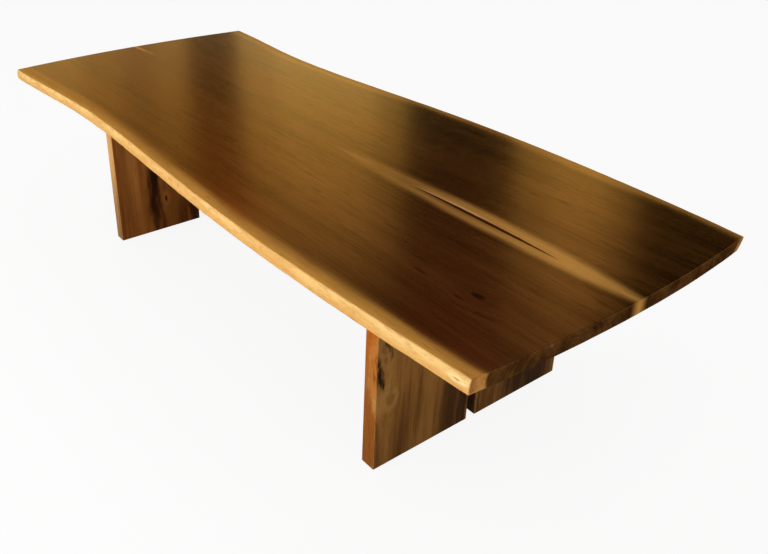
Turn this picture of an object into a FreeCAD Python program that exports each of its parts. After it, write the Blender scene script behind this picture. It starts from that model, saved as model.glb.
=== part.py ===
import FreeCAD, Part
import os
import Sketcher

# Dining table: two slabs of one log opened like a book, joined edge to edge, on two plank supports.
# +X runs along the top towards its near end, -Y is the left side, +Z is up. The origin is on the floor,
# at mid-length of the top and midway between the planks of the supports.

# Driving dimensions in millimetres. The edge values are the control points of a live edge, as distances
# from the joint between the slabs, from the far corner to the near corner.
SIZES = {
    "table_height": 755,
    "top_thickness": 44,
    "top_length": 3046,
    "joint_offset": 9,
    "left_edge_1": 654,
    "left_edge_2": 649,
    "left_edge_3": 595,
    "left_edge_4": 611,
    "left_edge_5": 643,
    "left_edge_6": 638,
    "left_edge_7": 614,
    "left_edge_8": 600,
    "left_far_bow": 49,
    "left_near_bow": 27,
    "left_far_lean": 2,
    "left_near_lean": 7,
    "right_edge_1": 591,
    "right_edge_2": 587,
    "right_edge_3": 527,
    "right_edge_4": 571,
    "right_edge_5": 626,
    "right_edge_6": 622,
    "right_edge_7": 596,
    "right_edge_8": 574,
    "right_far_bow": 34,
    "right_near_bow": 31,
    "right_far_lean": -20,
    "right_near_lean": -24,
    "edge_swell": 3,
    "void_near_margin": 288,
    "void_length": 620,
    "left_void_depth": 3,
    "right_void_depth": 7,
    "tenon_length": 100,
    "tenon_width": 50,
    "tenon_thickness": 12,
    "tenon_end_margin": 120,
    "tenon_void_margin": 90,
    "far_tenon_count": 9,
    "fit_clearance": 0.2,
    "near_overhang": 531,
    "far_overhang": 552,
    "plank_thickness": 59,
    "plank_width": 420,
    "plank_gap": 40,
    "plank_arris": 2,
    "glide_height": 3,
    "glide_diameter": 30,
    "glide_spigot_diameter": 8,
    "glide_spigot_length": 18,
    "bearer_width": 45,
    "bearer_height": 70,
    "bearer_setback": 20,
    "bearer_end_cut": 28,
    "batten_length": 900,
    "batten_width": 90,
    "batten_height": 32,
    "batten_end_cut": 18,
    "batten_bolt_margin": 110,
    "bolts_per_side": 2,
    "cross_bolt_diameter": 10,
    "cross_head_across": 17,
    "cross_head_height": 6.5,
    "cross_nut_height": 8,
    "cross_bolt_end": 4,
    "cross_washer_diameter": 24,
    "cross_washer_thickness": 2,
    "top_bolt_diameter": 8,
    "top_head_across": 13,
    "top_head_height": 5.5,
    "top_washer_diameter": 24,
    "top_washer_thickness": 2,
    "bolt_hole_clearance": 1,
    "top_slot_play": 4,
    "insert_diameter": 14,
    "insert_length": 22,
    "cut_overrun": 5,
}

# Places along a live edge, from its far to its near corner, that spread its control points evenly.
STATION_SHARES = (0, 1 / 15, 1 / 5, 2 / 5, 3 / 5, 4 / 5, 14 / 15, 1)
# Levels of the slab's outline through its thickness, from the underside to the top.
LEVEL_SHARES = (0, 1 / 2, 1)
# The bolts that hold the top stand closer than the cross bolts, so that the two rows pass each other.
TOP_BOLT_PITCH_SHARE = 2 / 3

# Places that several pieces share, worked out from the sheet.
HALF_LENGTH = "Sizes.top_length / 2"
UNDERSIDE = "(Sizes.table_height - Sizes.top_thickness)"
PLANK_HEIGHT = "(Sizes.table_height - Sizes.top_thickness - Sizes.glide_height)"
SUPPORT = {
    "near": "(Sizes.top_length / 2 - Sizes.near_overhang - Sizes.plank_thickness / 2)",
    "far": "(Sizes.far_overhang + Sizes.plank_thickness / 2 - Sizes.top_length / 2)",
}
BEARER_STEP = "(Sizes.plank_thickness + Sizes.bearer_width) / 2"
BEARER = {
    "near_outer": SUPPORT["near"] + " + " + BEARER_STEP,
    "near_inner": SUPPORT["near"] + " - " + BEARER_STEP,
    "far_inner": SUPPORT["far"] + " + " + BEARER_STEP,
    "far_outer": SUPPORT["far"] + " - " + BEARER_STEP,
}
BOLTS_IN_ROW = "(2 * Sizes.bolts_per_side)"
CROSS_PITCH = "(Sizes.plank_width + Sizes.plank_gap) / Sizes.bolts_per_side"
TOP_PITCH = "%s * %r" % (CROSS_PITCH, TOP_BOLT_PITCH_SHARE)
BATTEN_PITCH = "(Sizes.batten_length - 2 * Sizes.batten_bolt_margin) / (%s - 1)" % BOLTS_IN_ROW
CROSS_BOLT_DROP = "Sizes.bearer_height / 2"
CROSS_HOLE = "Sizes.cross_bolt_diameter + Sizes.bolt_hole_clearance"
TOP_HOLE = "Sizes.top_bolt_diameter + Sizes.bolt_hole_clearance"
VOID_END = "(Sizes.top_length / 2 - Sizes.void_near_margin)"
VOID_START = "(Sizes.top_length / 2 - Sizes.void_near_margin - Sizes.void_length)"
FAR_TENON_START = "(Sizes.tenon_end_margin - Sizes.top_length / 2)"
FAR_TENON_RUN = "%s - Sizes.tenon_void_margin - %s" % (VOID_START, FAR_TENON_START)
NEAR_TENON = "(Sizes.top_length - Sizes.void_near_margin) / 2"

doc = FreeCAD.newDocument("live_edge_table")
sheet = doc.addObject("Spreadsheet::Sheet", "Sizes")
for row, (alias, size) in enumerate(SIZES.items(), start=1):
    sheet.set("A%d" % row, alias)
    sheet.set("B%d" % row, str(size))
    sheet.setAlias("B%d" % row, alias)
doc.recompute()

nodes = []


def value(expression):
    return float(sheet.evalExpression(expression))


def point(across, along):
    return FreeCAD.Vector(value(across), value(along), 0)


def new_body(label, x="0", y="0", z="0"):
    body = doc.addObject("PartDesign::Body", label)
    body.Label = label
    body.setExpression("Placement.Base.x", x)
    body.setExpression("Placement.Base.y", y)
    body.setExpression("Placement.Base.z", z)
    nodes.append(body)
    return body


def origin_feature(body, role):
    return next(item for item in body.Origin.OriginFeatures if item.Role == role)


def new_sketch(body, role, lift="0"):
    sketch = body.newObject("Sketcher::SketchObject", "Outline")
    sketch.AttachmentSupport = [(origin_feature(body, role), "")]
    sketch.MapMode = "FlatFace"
    sketch.setExpression("AttachmentOffset.Base.z", lift)
    return sketch


def bind(sketch, expression, kind, *places):
    index = sketch.addConstraint(Sketcher.Constraint(kind, *places, value(expression)))
    name = "size_%d" % index
    sketch.renameConstraint(index, name)
    sketch.setExpression("Constraints." + name, expression)


def fix_point(sketch, edge, end, across, along):
    # Holds one point of the sketch at a distance from the sketch's origin, in both directions.
    bind(sketch, across, "DistanceX", -1, 1, edge, end)
    bind(sketch, along, "DistanceY", -1, 1, edge, end)


def join_ends(sketch, edges, kind="Coincident"):
    # Ties each edge of a closed outline to the next one, at the two ends that meet.
    for edge, following in zip(edges, edges[1:] + edges[:1]):
        meetings = []
        for end in (1, 2):
            for start in (1, 2):
                apart = sketch.getPoint(edge, end).distanceToPoint(sketch.getPoint(following, start))
                meetings.append((apart, end, start))
        apart, end, start = min(meetings)
        sketch.addConstraint(Sketcher.Constraint(kind, edge, end, following, start))


def draw_circle(sketch, diameter, across="0", along="0"):
    centre = point(across, along)
    normal = FreeCAD.Vector(0, 0, 1)
    circle = sketch.addGeometry(Part.Circle(centre, normal, value(diameter) / 2), False)
    bind(sketch, diameter, "Diameter", circle)
    fix_point(sketch, circle, 3, across, along)


def draw_polygon(sketch, corners):
    # A closed outline of straight edges through corners given as pairs of expressions.
    places = [point(*corner) for corner in corners]
    edges = []
    for start, end in zip(places, places[1:] + places[:1]):
        edges.append(sketch.addGeometry(Part.LineSegment(start, end), False))
    join_ends(sketch, edges)
    for edge, corner in zip(edges, corners):
        fix_point(sketch, edge, 1, *corner)


def draw_hexagon(sketch, across_flats):
    half = "%s / 2" % across_flats
    tip = "%s / sqrt(3)" % across_flats
    corners = [(tip, "0"), (tip + " / 2", half), ("-%s / 2" % tip, half),
               ("-" + tip, "0"), ("-%s / 2" % tip, "-" + half), (tip + " / 2", "-" + half)]
    draw_polygon(sketch, corners)


def draw_slot(sketch, first, second, width):
    # A slot with round ends about two centres, each a pair of expressions.
    radius = "(%s) / 2" % width
    start = point(*first)
    end = point(*second)
    ahead = (end - start).normalize() * value(radius)
    aside = FreeCAD.Vector(-ahead.y, ahead.x, 0)
    edges = [
        sketch.addGeometry(Part.LineSegment(start + aside, end + aside), False),
        sketch.addGeometry(Part.Arc(end + aside, end + ahead, end - aside), False),
        sketch.addGeometry(Part.LineSegment(end - aside, start - aside), False),
        sketch.addGeometry(Part.Arc(start - aside, start - ahead, start + aside), False),
    ]
    join_ends(sketch, edges, "Tangent")
    for arc, centre in ((edges[1], second), (edges[3], first)):
        fix_point(sketch, arc, 3, *centre)
        bind(sketch, radius, "Radius", arc)


def draw_tenon(sketch, across, along, clearance):
    # The section of a loose tenon, or of its mortise with a clearance all round.
    width = "Sizes.tenon_thickness + 2 * " + clearance
    reach = "(Sizes.tenon_width - Sizes.tenon_thickness) / 2"
    draw_slot(sketch, ("%s - %s" % (across, reach), along), ("%s + %s" % (across, reach), along), width)


def pad(body, sketch, length, reverse=False):
    feature = body.newObject("PartDesign::Pad", "Pad")
    feature.Profile = sketch
    feature.setExpression("Length", length)
    feature.Reversed = reverse
    doc.recompute()
    return feature


def pocket(body, sketch, length, reverse=False):
    # Cuts an outline into the body and makes sure that it took something away.
    before = body.Shape.Volume
    feature = body.newObject("PartDesign::Pocket", "Pocket")
    feature.Profile = sketch
    feature.setExpression("Length", length)
    feature.Reversed = reverse
    doc.recompute()
    if body.Shape.Volume >= before:
        raise RuntimeError("%s: a pocket cuts nothing" % body.Label)
    return feature


def repeat(body, features, role, run, count):
    # Repeats features along one axis of the body, from their own place over the length of the run.
    pattern = body.newObject("PartDesign::LinearPattern", "Row")
    pattern.Originals = features
    pattern.Direction = (origin_feature(body, role), [""])
    pattern.setExpression("Length", run)
    pattern.setExpression("Occurrences", count)
    body.Tip = pattern
    doc.recompute()


# The slabs of the top

def slab_outline(body, side, name, level):
    # One level of the slab: the joint, two bowed ends and the live edge between their corners.
    sketch = new_sketch(body, "XY_Plane", "Sizes.top_thickness * %r" % level)
    near_corner = "(%s - Sizes.%s_near_bow)" % (HALF_LENGTH, name)
    far_corner = "(Sizes.%s_far_bow - %s)" % (name, HALF_LENGTH)
    poles = []
    for number, share in enumerate(STATION_SHARES, start=1):
        lean = "(Sizes.{0}_far_lean * {1!r} + Sizes.{0}_near_lean * {2!r})".format(name, 1 - share, share)
        swell = "Sizes.edge_swell * %r" % (4 * level * (1 - level))
        reach = "(Sizes.%s_edge_%d + %s * %r + %s)" % (name, number, lean, 1 - level, swell)
        station = "%s * %r + %s * %r" % (far_corner, 1 - share, near_corner, share)
        poles.append((station, "%s * %d" % (reach, side)))
    curve = Part.BSplineCurve([point(*pole) for pole in poles], None, None, False, 3, None, False)
    live_edge = sketch.addGeometry(curve, False)
    sketch.exposeInternalGeometry(live_edge)
    handles = [index for index, item in enumerate(sketch.Geometry) if item.TypeId == "Part::GeomCircle"]
    joint_far = point("-" + HALF_LENGTH, "0")
    joint_near = point(HALF_LENGTH, "0")
    joint = sketch.addGeometry(Part.LineSegment(joint_far, joint_near), False)
    ends = []
    for tip, corner in ((joint_near, point(*poles[-1])), (joint_far, point(*poles[0]))):
        middle = FreeCAD.Vector(tip)
        middle.y = corner.y / 2
        middle.x = tip.x + (corner.x - tip.x) / 4
        ends.append(sketch.addGeometry(Part.Arc(tip, middle, corner), False))
    join_ends(sketch, [joint, ends[0], live_edge, ends[1]])
    for handle, pole in zip(handles, poles):
        fix_point(sketch, handle, 3, *pole)
    for end in ends:
        sketch.addConstraint(Sketcher.Constraint("PointOnObject", end, 3, -1))
    for end, reach in ((1, "-" + HALF_LENGTH), (2, HALF_LENGTH)):
        fix_point(sketch, joint, end, reach, "0")
    return sketch


def cut_void(body, side, depth):
    # The natural opening in the joint: a long shallow bay in the slab's inner edge, right through.
    sketch = new_sketch(body, "XY_Plane")
    middle = "(%s + %s) / 2" % (VOID_START, VOID_END)
    outside = "-Sizes.cut_overrun * %d" % side
    deepest = point(middle, "%s * %d" % (depth, side))
    bay = sketch.addGeometry(Part.Arc(point(VOID_START, "0"), deepest, point(VOID_END, "0")), False)
    corners = [(VOID_START, "0"), (VOID_START, outside), (VOID_END, outside), (VOID_END, "0")]
    sides = []
    for start, end in zip(corners, corners[1:]):
        sides.append(sketch.addGeometry(Part.LineSegment(point(*start), point(*end)), False))
    join_ends(sketch, [bay] + sides[::-1])
    for edge, corner in zip(sides, corners):
        fix_point(sketch, edge, 1, *corner)
    fix_point(sketch, sides[-1], 2, *corners[-1])
    bind(sketch, "Sizes.void_length^2 / (8 * %s) + %s / 2" % (depth, depth), "Radius", bay)
    pocket(body, sketch, "Sizes.top_thickness + Sizes.cut_overrun", reverse=True)


def cut_mortise(body, side, across):
    # One mortise in the joint's edge, at half the slab's thickness.
    sketch = new_sketch(body, "XZ_Plane")
    draw_tenon(sketch, across, "Sizes.top_thickness / 2", "Sizes.fit_clearance")
    return pocket(body, sketch, "Sizes.tenon_length / 2 + Sizes.fit_clearance", reverse=side < 0)


def cut_insert_holes(body, side):
    # Blind holes in the underside for the threaded inserts of the bearers and of the batten.
    sketch = new_sketch(body, "XY_Plane")
    rows = [(place, TOP_PITCH) for place in BEARER.values()] + [("0", BATTEN_PITCH)]
    for place, pitch in rows:
        for number in range(int(value("Sizes.bolts_per_side"))):
            along = "(%s) * %r * %d - Sizes.joint_offset" % (pitch, number + 1 / 2, side)
            draw_circle(sketch, "Sizes.insert_diameter", place, along)
    pocket(body, sketch, "Sizes.insert_length", reverse=True)


def make_slab(name, side):
    body = new_body(name + "_slab", y="Sizes.joint_offset", z=UNDERSIDE)
    levels = [slab_outline(body, side, name, share) for share in LEVEL_SHARES]
    loft = body.newObject("PartDesign::AdditiveLoft", "Loft")
    loft.Profile = levels[0]
    loft.Sections = levels[1:]
    doc.recompute()
    cut_void(body, side, "Sizes.%s_void_depth" % name)
    cut_mortise(body, side, NEAR_TENON)
    far_mortise = cut_mortise(body, side, FAR_TENON_START)
    repeat(body, [far_mortise], "X_Axis", FAR_TENON_RUN, "Sizes.far_tenon_count")
    cut_insert_holes(body, side)


def make_tenon(label, across):
    # A loose tenon with round edges, half in each slab.
    body = new_body(label, across, "Sizes.joint_offset + Sizes.tenon_length / 2",
                    UNDERSIDE + " + Sizes.top_thickness / 2")
    sketch = new_sketch(body, "XZ_Plane")
    draw_tenon(sketch, "0", "0", "0")
    tenon = pad(body, sketch, "Sizes.tenon_length")
    return body, tenon


make_slab("left", -1)
make_slab("right", 1)
make_tenon("near_joint_tenon", NEAR_TENON)
far_tenons, first_tenon = make_tenon("far_joint_tenons", FAR_TENON_START)
repeat(far_tenons, [first_tenon], "X_Axis", FAR_TENON_RUN, "Sizes.far_tenon_count")


# The planks of the supports

def upright_edges(feature):
    names = []
    for number, edge in enumerate(feature.Shape.Edges, start=1):
        direction = edge.tangentAt(edge.FirstParameter)
        if direction.x == 0 and direction.y == 0:
            names.append("Edge%d" % number)
    return names


def make_plank(end, name, side):
    middle = "(Sizes.plank_gap + Sizes.plank_width) / 2"
    body = new_body("%s_%s_plank" % (end, name), SUPPORT[end], "%s * %d" % (middle, side),
                    "Sizes.glide_height")
    section = new_sketch(body, "XY_Plane")
    half_x = "Sizes.plank_thickness / 2"
    half_y = "Sizes.plank_width / 2"
    draw_polygon(section, [(half_x, half_y), ("-" + half_x, half_y),
                           ("-" + half_x, "-" + half_y), (half_x, "-" + half_y)])
    board = pad(body, section, PLANK_HEIGHT)
    arris = body.newObject("PartDesign::Fillet", "Arris")
    arris.Base = (board, upright_edges(board))
    arris.setExpression("Radius", "Sizes.plank_arris")
    doc.recompute()
    bolt_holes = new_sketch(body, "YZ_Plane", "-%s - Sizes.cut_overrun" % half_x)
    spigot_holes = new_sketch(body, "XY_Plane")
    for number in range(int(value("Sizes.bolts_per_side"))):
        along = "%s * (%d - (Sizes.bolts_per_side - 1) / 2)" % (CROSS_PITCH, number)
        draw_circle(bolt_holes, CROSS_HOLE, along, "%s - %s" % (PLANK_HEIGHT, CROSS_BOLT_DROP))
        draw_circle(spigot_holes, "Sizes.glide_spigot_diameter + 2 * Sizes.fit_clearance", "0", along)
    pocket(body, bolt_holes, "Sizes.plank_thickness + 2 * Sizes.cut_overrun", reverse=True)
    pocket(body, spigot_holes, "Sizes.glide_spigot_length + Sizes.fit_clearance", reverse=True)


def row_start(pitch):
    # Where a row of bolts that is centred on the supports begins.
    return "-(%s - 1) * (%s) / 2" % (BOLTS_IN_ROW, pitch)


def row_run(pitch):
    return "(%s - 1) * (%s)" % (BOLTS_IN_ROW, pitch)


def make_glides(end):
    # Flat glides, each with a spigot driven into the plank above it.
    body = new_body(end + "_glides", SUPPORT[end], row_start(CROSS_PITCH))
    foot = new_sketch(body, "XY_Plane")
    draw_circle(foot, "Sizes.glide_diameter")
    disc = pad(body, foot, "Sizes.glide_height")
    stem = new_sketch(body, "XY_Plane", "Sizes.glide_height")
    draw_circle(stem, "Sizes.glide_spigot_diameter")
    spigot = pad(body, stem, "Sizes.glide_spigot_length")
    repeat(body, [disc, spigot], "Y_Axis", row_run(CROSS_PITCH), BOLTS_IN_ROW)


for support in SUPPORT:
    make_plank(support, "left", -1)
    make_plank(support, "right", 1)
    make_glides(support)


# The rails under the top

def make_rail(label, place, sizes, pitch):
    # A rail across the grain of the top with its lower corners cut off, and slots for the bolts into the
    # top, which let the slabs swell and shrink. The rail's top face meets the underside.
    length, width, height, end_cut = sizes
    body = new_body(label, "%s - %s / 2" % (place, width), "0", UNDERSIDE)
    profile = new_sketch(body, "YZ_Plane")
    half = "(%s) / 2" % length
    shoulder = "%s - %s" % (end_cut, height)
    draw_polygon(profile, [(half, "0"), ("-" + half, "0"), ("-" + half, shoulder),
                           ("%s - %s" % (end_cut, half), "-" + height),
                           ("%s - %s" % (half, end_cut), "-" + height), (half, shoulder)])
    pad(body, profile, width)
    slots = new_sketch(body, "XY_Plane", "-%s - Sizes.cut_overrun" % height)
    for number in range(int(value(BOLTS_IN_ROW))):
        along = "%s + (%s) * %d" % (row_start(pitch), pitch, number)
        first = ("%s / 2" % width, along + " - Sizes.top_slot_play")
        second = ("%s / 2" % width, along + " + Sizes.top_slot_play")
        draw_slot(slots, first, second, TOP_HOLE)
    pocket(body, slots, "%s + 2 * Sizes.cut_overrun" % height, reverse=True)
    return body


def make_bearer(name):
    length = "Sizes.plank_gap + 2 * Sizes.plank_width - 2 * Sizes.bearer_setback"
    sizes = (length, "Sizes.bearer_width", "Sizes.bearer_height", "Sizes.bearer_end_cut")
    body = make_rail(name + "_bearer", BEARER[name], sizes, TOP_PITCH)
    holes = new_sketch(body, "YZ_Plane", "-Sizes.cut_overrun")
    for number in range(int(value(BOLTS_IN_ROW))):
        along = "%s + %s * %d" % (row_start(CROSS_PITCH), CROSS_PITCH, number)
        draw_circle(holes, CROSS_HOLE, along, "-" + CROSS_BOLT_DROP)
    pocket(body, holes, "Sizes.bearer_width + 2 * Sizes.cut_overrun", reverse=True)


for bearer in BEARER:
    make_bearer(bearer)
make_rail("centre_batten", "0",
          ("Sizes.batten_length", "Sizes.batten_width", "Sizes.batten_height", "Sizes.batten_end_cut"),
          BATTEN_PITCH)


# The bolts, washers, nuts and inserts. Each row is modelled along its own +Z from its head or seat.

def lay_along_x(body):
    body.Placement.Rotation = FreeCAD.Rotation(FreeCAD.Vector(0, 1, 0), 90)


def make_bolts(body, diameter, length, head_across, head_height, pitch):
    head_outline = new_sketch(body, "XY_Plane")
    draw_hexagon(head_outline, head_across)
    head = pad(body, head_outline, head_height, reverse=True)
    shank_outline = new_sketch(body, "XY_Plane")
    draw_circle(shank_outline, diameter)
    shank = pad(body, shank_outline, length)
    repeat(body, [head, shank], "Y_Axis", row_run(pitch), BOLTS_IN_ROW)


def make_rings(body, draw_outside, outside, bore, height, pitch):
    outline = new_sketch(body, "XY_Plane")
    draw_outside(outline, outside)
    draw_circle(outline, bore)
    ring = pad(body, outline, height)
    repeat(body, [ring], "Y_Axis", row_run(pitch), BOLTS_IN_ROW)


def make_cross_bolts(end):
    # Bolts through the outer bearer, a plank and the inner bearer, with a washer at each end and a nut.
    stack = "(Sizes.plank_thickness / 2 + Sizes.bearer_width)"
    height = UNDERSIDE + " - " + CROSS_BOLT_DROP
    start = row_start(CROSS_PITCH)
    head_seat = "%s - %s - Sizes.cross_washer_thickness" % (SUPPORT[end], stack)
    nut_seat = "%s + %s + Sizes.cross_washer_thickness" % (SUPPORT[end], stack)
    bolts = new_body(end + "_cross_bolts", head_seat, start, height)
    lay_along_x(bolts)
    grip = "2 * (%s + Sizes.cross_washer_thickness)" % stack
    length = grip + " + Sizes.cross_nut_height + Sizes.cross_bolt_end"
    make_bolts(bolts, "Sizes.cross_bolt_diameter", length, "Sizes.cross_head_across",
               "Sizes.cross_head_height", CROSS_PITCH)
    bore = "Sizes.cross_bolt_diameter + 2 * Sizes.fit_clearance"
    washers = new_body(end + "_cross_washers", head_seat, start, height)
    lay_along_x(washers)
    rings = new_sketch(washers, "XY_Plane")
    draw_circle(rings, "Sizes.cross_washer_diameter")
    draw_circle(rings, bore)
    first = pad(washers, rings, "Sizes.cross_washer_thickness")
    far_rings = new_sketch(washers, "XY_Plane", "2 * %s + Sizes.cross_washer_thickness" % stack)
    draw_circle(far_rings, "Sizes.cross_washer_diameter")
    draw_circle(far_rings, bore)
    second = pad(washers, far_rings, "Sizes.cross_washer_thickness")
    repeat(washers, [first, second], "Y_Axis", row_run(CROSS_PITCH), BOLTS_IN_ROW)
    nuts = new_body(end + "_cross_nuts", nut_seat, start, height)
    lay_along_x(nuts)
    make_rings(nuts, draw_hexagon, "Sizes.cross_head_across", bore, "Sizes.cross_nut_height", CROSS_PITCH)


def make_top_bolts(name, place, rail_height, pitch):
    # Bolts from below through a rail into threaded inserts that sit flush in the underside of the slabs.
    start = row_start(pitch)
    seat = "%s - %s - Sizes.top_washer_thickness" % (UNDERSIDE, rail_height)
    bolts = new_body(name + "_bolts", place, start, seat)
    length = "Sizes.top_washer_thickness + %s + Sizes.insert_length" % rail_height
    make_bolts(bolts, "Sizes.top_bolt_diameter", length, "Sizes.top_head_across",
               "Sizes.top_head_height", pitch)
    bore = "Sizes.top_bolt_diameter + 2 * Sizes.fit_clearance"
    washers = new_body(name + "_washers", place, start, seat)
    make_rings(washers, draw_circle, "Sizes.top_washer_diameter", bore, "Sizes.top_washer_thickness", pitch)
    inserts = new_body(name + "_inserts", place, start, UNDERSIDE)
    make_rings(inserts, draw_circle, "Sizes.insert_diameter", bore, "Sizes.insert_length", pitch)


for support in SUPPORT:
    make_cross_bolts(support)
for bearer, place in BEARER.items():
    make_top_bolts(bearer, place, "Sizes.bearer_height", TOP_PITCH)
make_top_bolts("batten", "0", "Sizes.batten_height", BATTEN_PITCH)

# Every object is up to date and every piece sound before anything is written.
doc.recompute()
for item in doc.Objects:
    if "Invalid" in item.State or "Error" in item.State:
        raise RuntimeError("%s failed: %s" % (item.Label, item.State))
for body in nodes:
    if body.Shape.isNull() or not body.Shape.isValid():
        raise RuntimeError("%s has no sound shape" % body.Label)

os.makedirs("parts", exist_ok=True)
for body in nodes:
    body.Shape.exportStep(os.path.join("parts", body.Label + ".step"))
    print(body.Label, len(body.Shape.Solids), "solids", round(body.Shape.Volume / 1000), "cm3")
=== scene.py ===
import math
from collections import Counter, namedtuple
from itertools import product

import bpy
import numpy as np
from mathutils import Matrix, Vector, noise


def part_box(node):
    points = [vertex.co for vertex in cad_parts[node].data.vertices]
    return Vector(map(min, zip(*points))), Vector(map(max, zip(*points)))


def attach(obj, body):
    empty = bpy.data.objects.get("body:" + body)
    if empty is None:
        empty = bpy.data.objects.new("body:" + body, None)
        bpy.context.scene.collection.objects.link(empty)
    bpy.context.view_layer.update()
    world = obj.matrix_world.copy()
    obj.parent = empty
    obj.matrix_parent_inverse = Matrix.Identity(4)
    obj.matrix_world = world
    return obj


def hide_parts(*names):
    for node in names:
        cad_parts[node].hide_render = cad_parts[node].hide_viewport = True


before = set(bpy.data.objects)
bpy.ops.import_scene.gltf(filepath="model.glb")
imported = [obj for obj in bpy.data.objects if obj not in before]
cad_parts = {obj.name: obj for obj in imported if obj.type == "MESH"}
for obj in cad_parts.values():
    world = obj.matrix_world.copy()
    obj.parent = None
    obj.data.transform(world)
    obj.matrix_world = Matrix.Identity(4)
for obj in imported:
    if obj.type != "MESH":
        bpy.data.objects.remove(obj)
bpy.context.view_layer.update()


# The four upright planks
# Each support is two thick solid-wood planks standing on end, a narrow gap apart. They are sawn
# and planed square, their arrises are eased by hand, and bolts through the bearers hold them.
PLANK_EASE = 0.0025
PLANK_CELLS = (5, 34, 56)
PLANK_WAVER = 0.0004
PLANK_RIPPLES = (1.0, 6.0, 2.5)
EASE_STEPS = (0.0, 0.3, 0.65, 1.0, 1.4)
ARRIS_CALM = 0.02
KNOT_HOLLOW = 0.0035
HOLLOW_WIDE = 0.030
HOLLOW_TALL = 2.2 * HOLLOW_WIDE
HOLLOW_STEEP = 3
TINY = 1e-9


def lattice_steps(length, ease, cells):
    """Places along one side of a block, close together over its eased arrises."""
    close = np.array(EASE_STEPS) * ease
    inner = np.linspace(close[-1], length - close[-1], cells + 1)
    return np.concatenate([close[:-1], inner, length - close[-2::-1]])


def eased_shell(sides, ease, joint=False):
    """The skin of a block with eased arrises: points, each one's distance to an arris, and faces.

    With joint, the side at the start of Y is left square, to meet a neighbour.
    """
    numbers, points, faces = {}, [], []

    def corner(cell):
        if cell not in numbers:
            numbers[cell] = len(points)
            points.append([side[step] for side, step in zip(sides, cell)])
        return numbers[cell]

    for axis in range(3):
        a, b = [other for other in range(3) if other != axis]
        for end in (0, len(sides[axis]) - 1):
            inward = (end == 0) != (axis == 1)
            for i, j in product(range(len(sides[a]) - 1), range(len(sides[b]) - 1)):
                quad = []
                for along, across in ((i, j), (i + 1, j), (i + 1, j + 1), (i, j + 1)):
                    cell = {axis: end, a: along, b: across}
                    quad.append(corner((cell[0], cell[1], cell[2])))
                faces.append(quad[::-1] if inward else quad)
    points = np.array(points)
    size = np.array([side[-1] for side in sides])
    to_side = np.minimum(points, size - points)
    start = np.full(3, ease)
    if joint:
        to_side[:, 1] = size[1] - points[:, 1]
        start[1] = 0.0
    to_arris = np.sort(to_side, axis=1)[:, 1]
    core = np.clip(points, start, size - ease)
    out = points - core
    reach = np.linalg.norm(out, axis=1, keepdims=True)
    return core + out * ease / np.maximum(reach, TINY), to_arris, faces


def add_piece(name, points, faces, replaced, material, marks):
    """A smooth mesh piece that rides on the table and stands for CAD nodes. marks are point attributes."""
    mesh = bpy.data.meshes.new(name)
    mesh.from_pydata([tuple(p) for p in points], [], faces)
    mesh.shade_smooth()
    for mark, values in marks.items():
        layer = mesh.attributes.new(mark, "FLOAT", "POINT")
        layer.data.foreach_set("value", np.asarray(values, np.float32))
    mesh.materials.append(material)
    piece = bpy.data.objects.new(name, mesh)
    bpy.context.scene.collection.objects.link(piece)
    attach(piece, "root")
    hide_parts(*replaced)


def waver(points, ripples):
    """A smooth random height from about -1 to 1 at each point, with ripples per metre along each axis."""
    return np.array([noise.noise(Vector(p)) for p in points * np.array(ripples)])


def paint(red, green, blue):
    """A colour as it looks on a screen, from 0 to 255, as the linear colour that shaders take."""
    shares = [channel / 255 for channel in (red, green, blue)]
    return [s / 12.92 if s < 0.04045 else ((s + 0.055) / 1.055) ** 2.4 for s in shares] + [1.0]


def node(tree, kind, inputs=(), **settings):
    """Adds a node. inputs pairs a socket's name or number with a value, or with a socket that feeds it."""
    made = tree.nodes.new(kind)
    for name, setting in settings.items():
        setattr(made, name, setting)
    for name, value in dict(inputs).items():
        if isinstance(value, bpy.types.NodeSocket):
            tree.links.new(value, made.inputs[name])
        else:
            made.inputs[name].default_value = value
    return made


def calc(tree, operation, first, second=0.0, third=0.0):
    """One Math node's result."""
    return node(tree, "ShaderNodeMath", {0: first, 1: second, 2: third}, operation=operation).outputs[0]


def times(tree, first, *others):
    """Several values multiplied."""
    for other in others:
        first = calc(tree, "MULTIPLY", first, other)
    return first


def weigh(tree, first, *others):
    """A tone summed from pairs of a value and its weight."""
    tone = calc(tree, "MULTIPLY", *first)
    for value, weight in others:
        tone = calc(tree, "MULTIPLY_ADD", value, weight, tone)
    return tone


def vector_calc(tree, operation, first, second=(0.0, 0.0, 0.0)):
    """One Vector Math node's vector."""
    return node(tree, "ShaderNodeVectorMath", {0: first, 1: second}, operation=operation).outputs["Vector"]


def vector_length(tree, vector):
    """A vector's length."""
    return node(tree, "ShaderNodeVectorMath", {0: vector}, operation="LENGTH").outputs["Value"]


def axes_of(tree, vector):
    """A vector's parts along X, Y and Z."""
    return node(tree, "ShaderNodeSeparateXYZ", {0: vector}).outputs


def vector_of(tree, x, y, z):
    """A vector put together from its parts."""
    return node(tree, "ShaderNodeCombineXYZ", {0: x, 1: y, 2: z}).outputs[0]


def ramp(tree, value, low, high, to_low=0.0, to_high=1.0):
    """A value eased from one range to another."""
    pairs = {"Value": value, "From Min": low, "From Max": high, "To Min": to_low, "To Max": to_high}
    return node(tree, "ShaderNodeMapRange", pairs, interpolation_type="SMOOTHSTEP").outputs["Result"]


def blend_colours(tree, share, first, second):
    """Two colours mixed by a share. They are the Mix node's inputs 6 and 7, and its output 2 is a colour."""
    return node(tree, "ShaderNodeMix", {0: share, 6: first, 7: second}, data_type="RGBA").outputs[2]


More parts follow.
